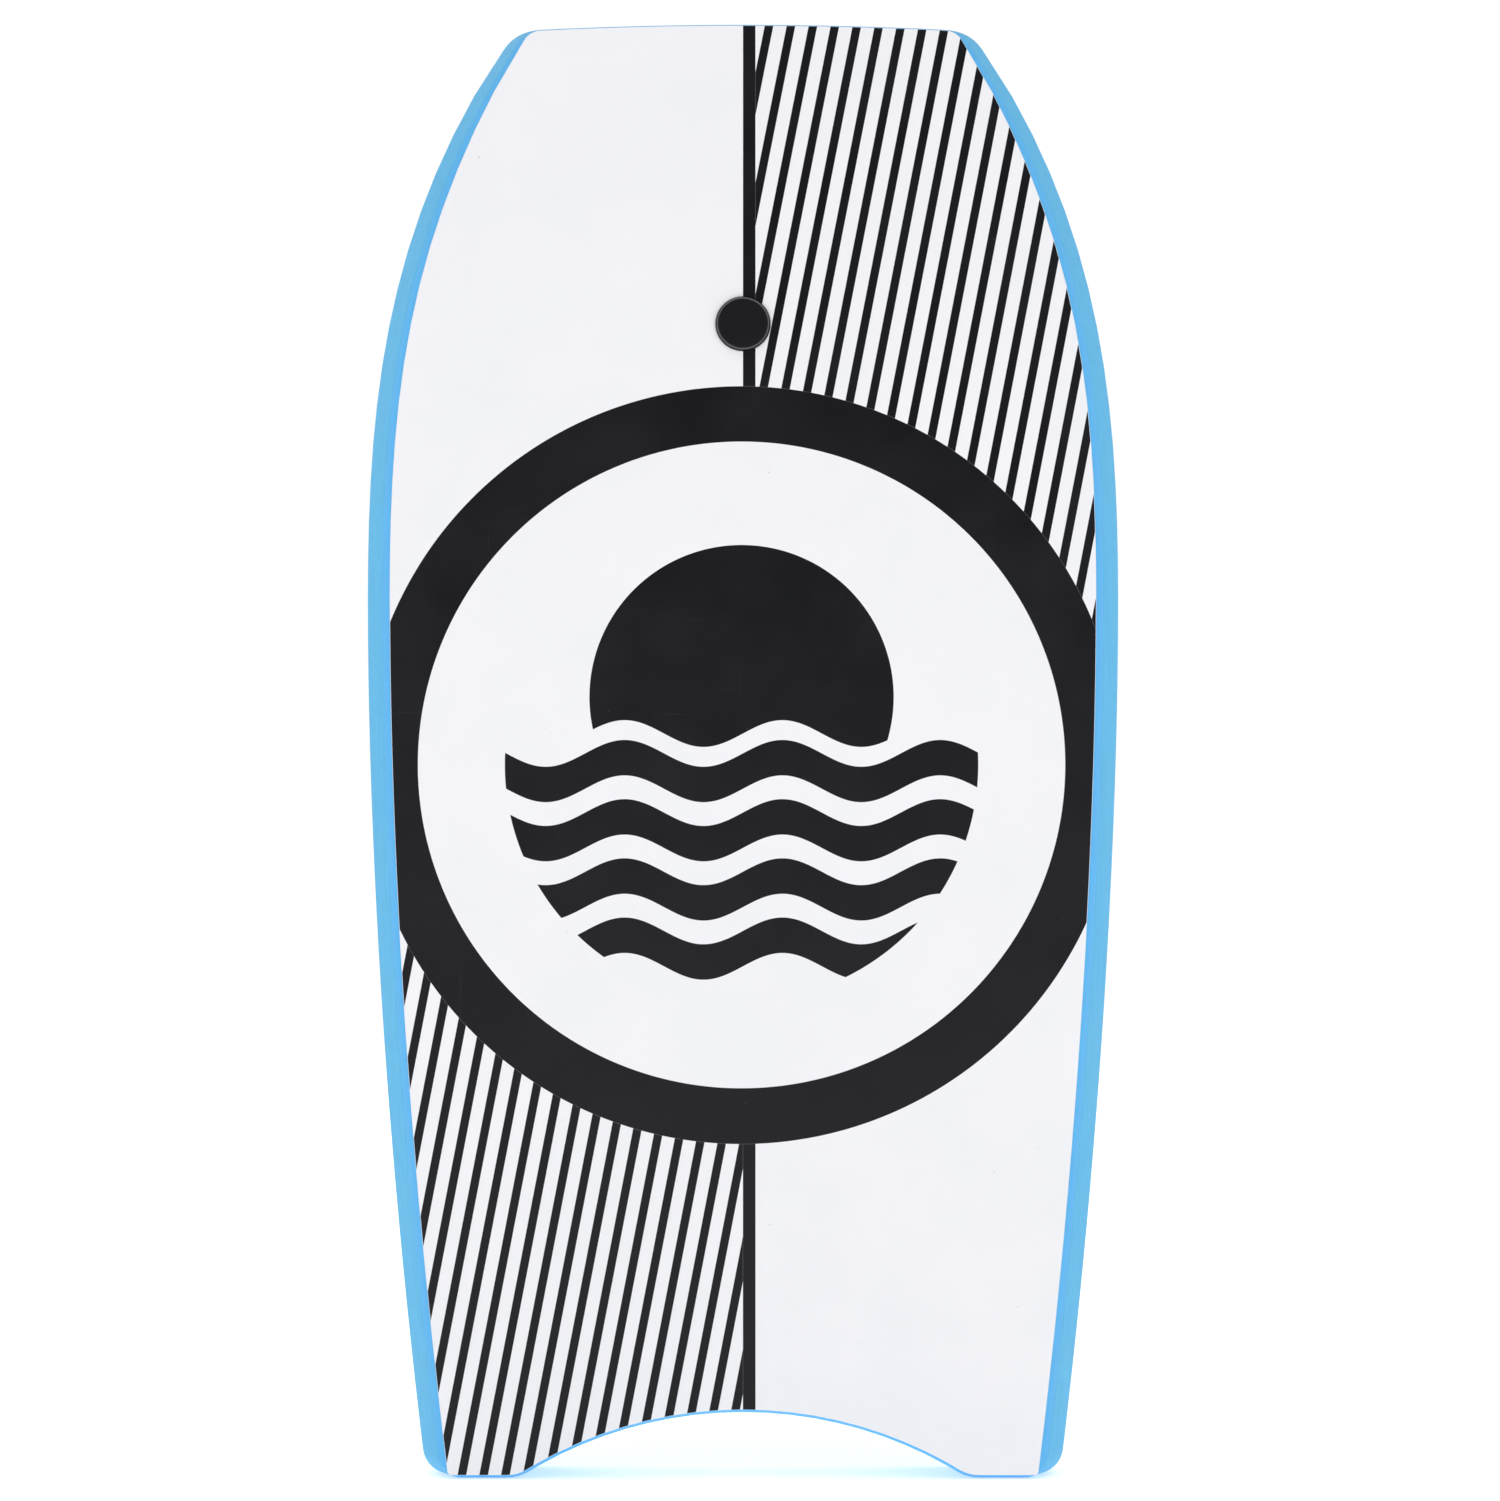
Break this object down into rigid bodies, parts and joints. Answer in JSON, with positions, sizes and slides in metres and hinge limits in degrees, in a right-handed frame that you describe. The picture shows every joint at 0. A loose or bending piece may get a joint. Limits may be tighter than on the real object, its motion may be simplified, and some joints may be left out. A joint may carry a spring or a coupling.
{
  "type": "bodyboard",
  "caption": "Square-nosed foam bodyboard with a crescent tail, blue foam rails, a white printed slick and a black leash plug near the nose.",
  "frame": {"origin": "at the height of the tail's end face, on the board's centre line, below the middle of its depth", "axes": "+Z from the tail to the nose, -Y out of the slick (the printed underside), +Y out of the deck, +X to the right as seen facing the slick. The board stands on its tail."},
  "size_m": [0.5374, 0.082, 1.041],
  "materials": {
    "slick_film": "satin",
    "rail_foam": "matte",
    "deck_foam": "matte",
    "core_foam": "matte",
    "plug_plastic": "satin"
  },
  "bodies": {
    "root": {"slick_skin": "slick_film", "slick_backing": "rail_foam", "foam_core": "core_foam", "left_lower_rail": "rail_foam", "right_lower_rail": "rail_foam", "left_upper_rail": "rail_foam", "right_upper_rail": "rail_foam", "nose_strip": "rail_foam", "tail_strip": "rail_foam", "deck_skin": "deck_foam", "leash_plug_base": "plug_plastic", "leash_plug_head": "plug_plastic"}
  },
  "joints": []
}
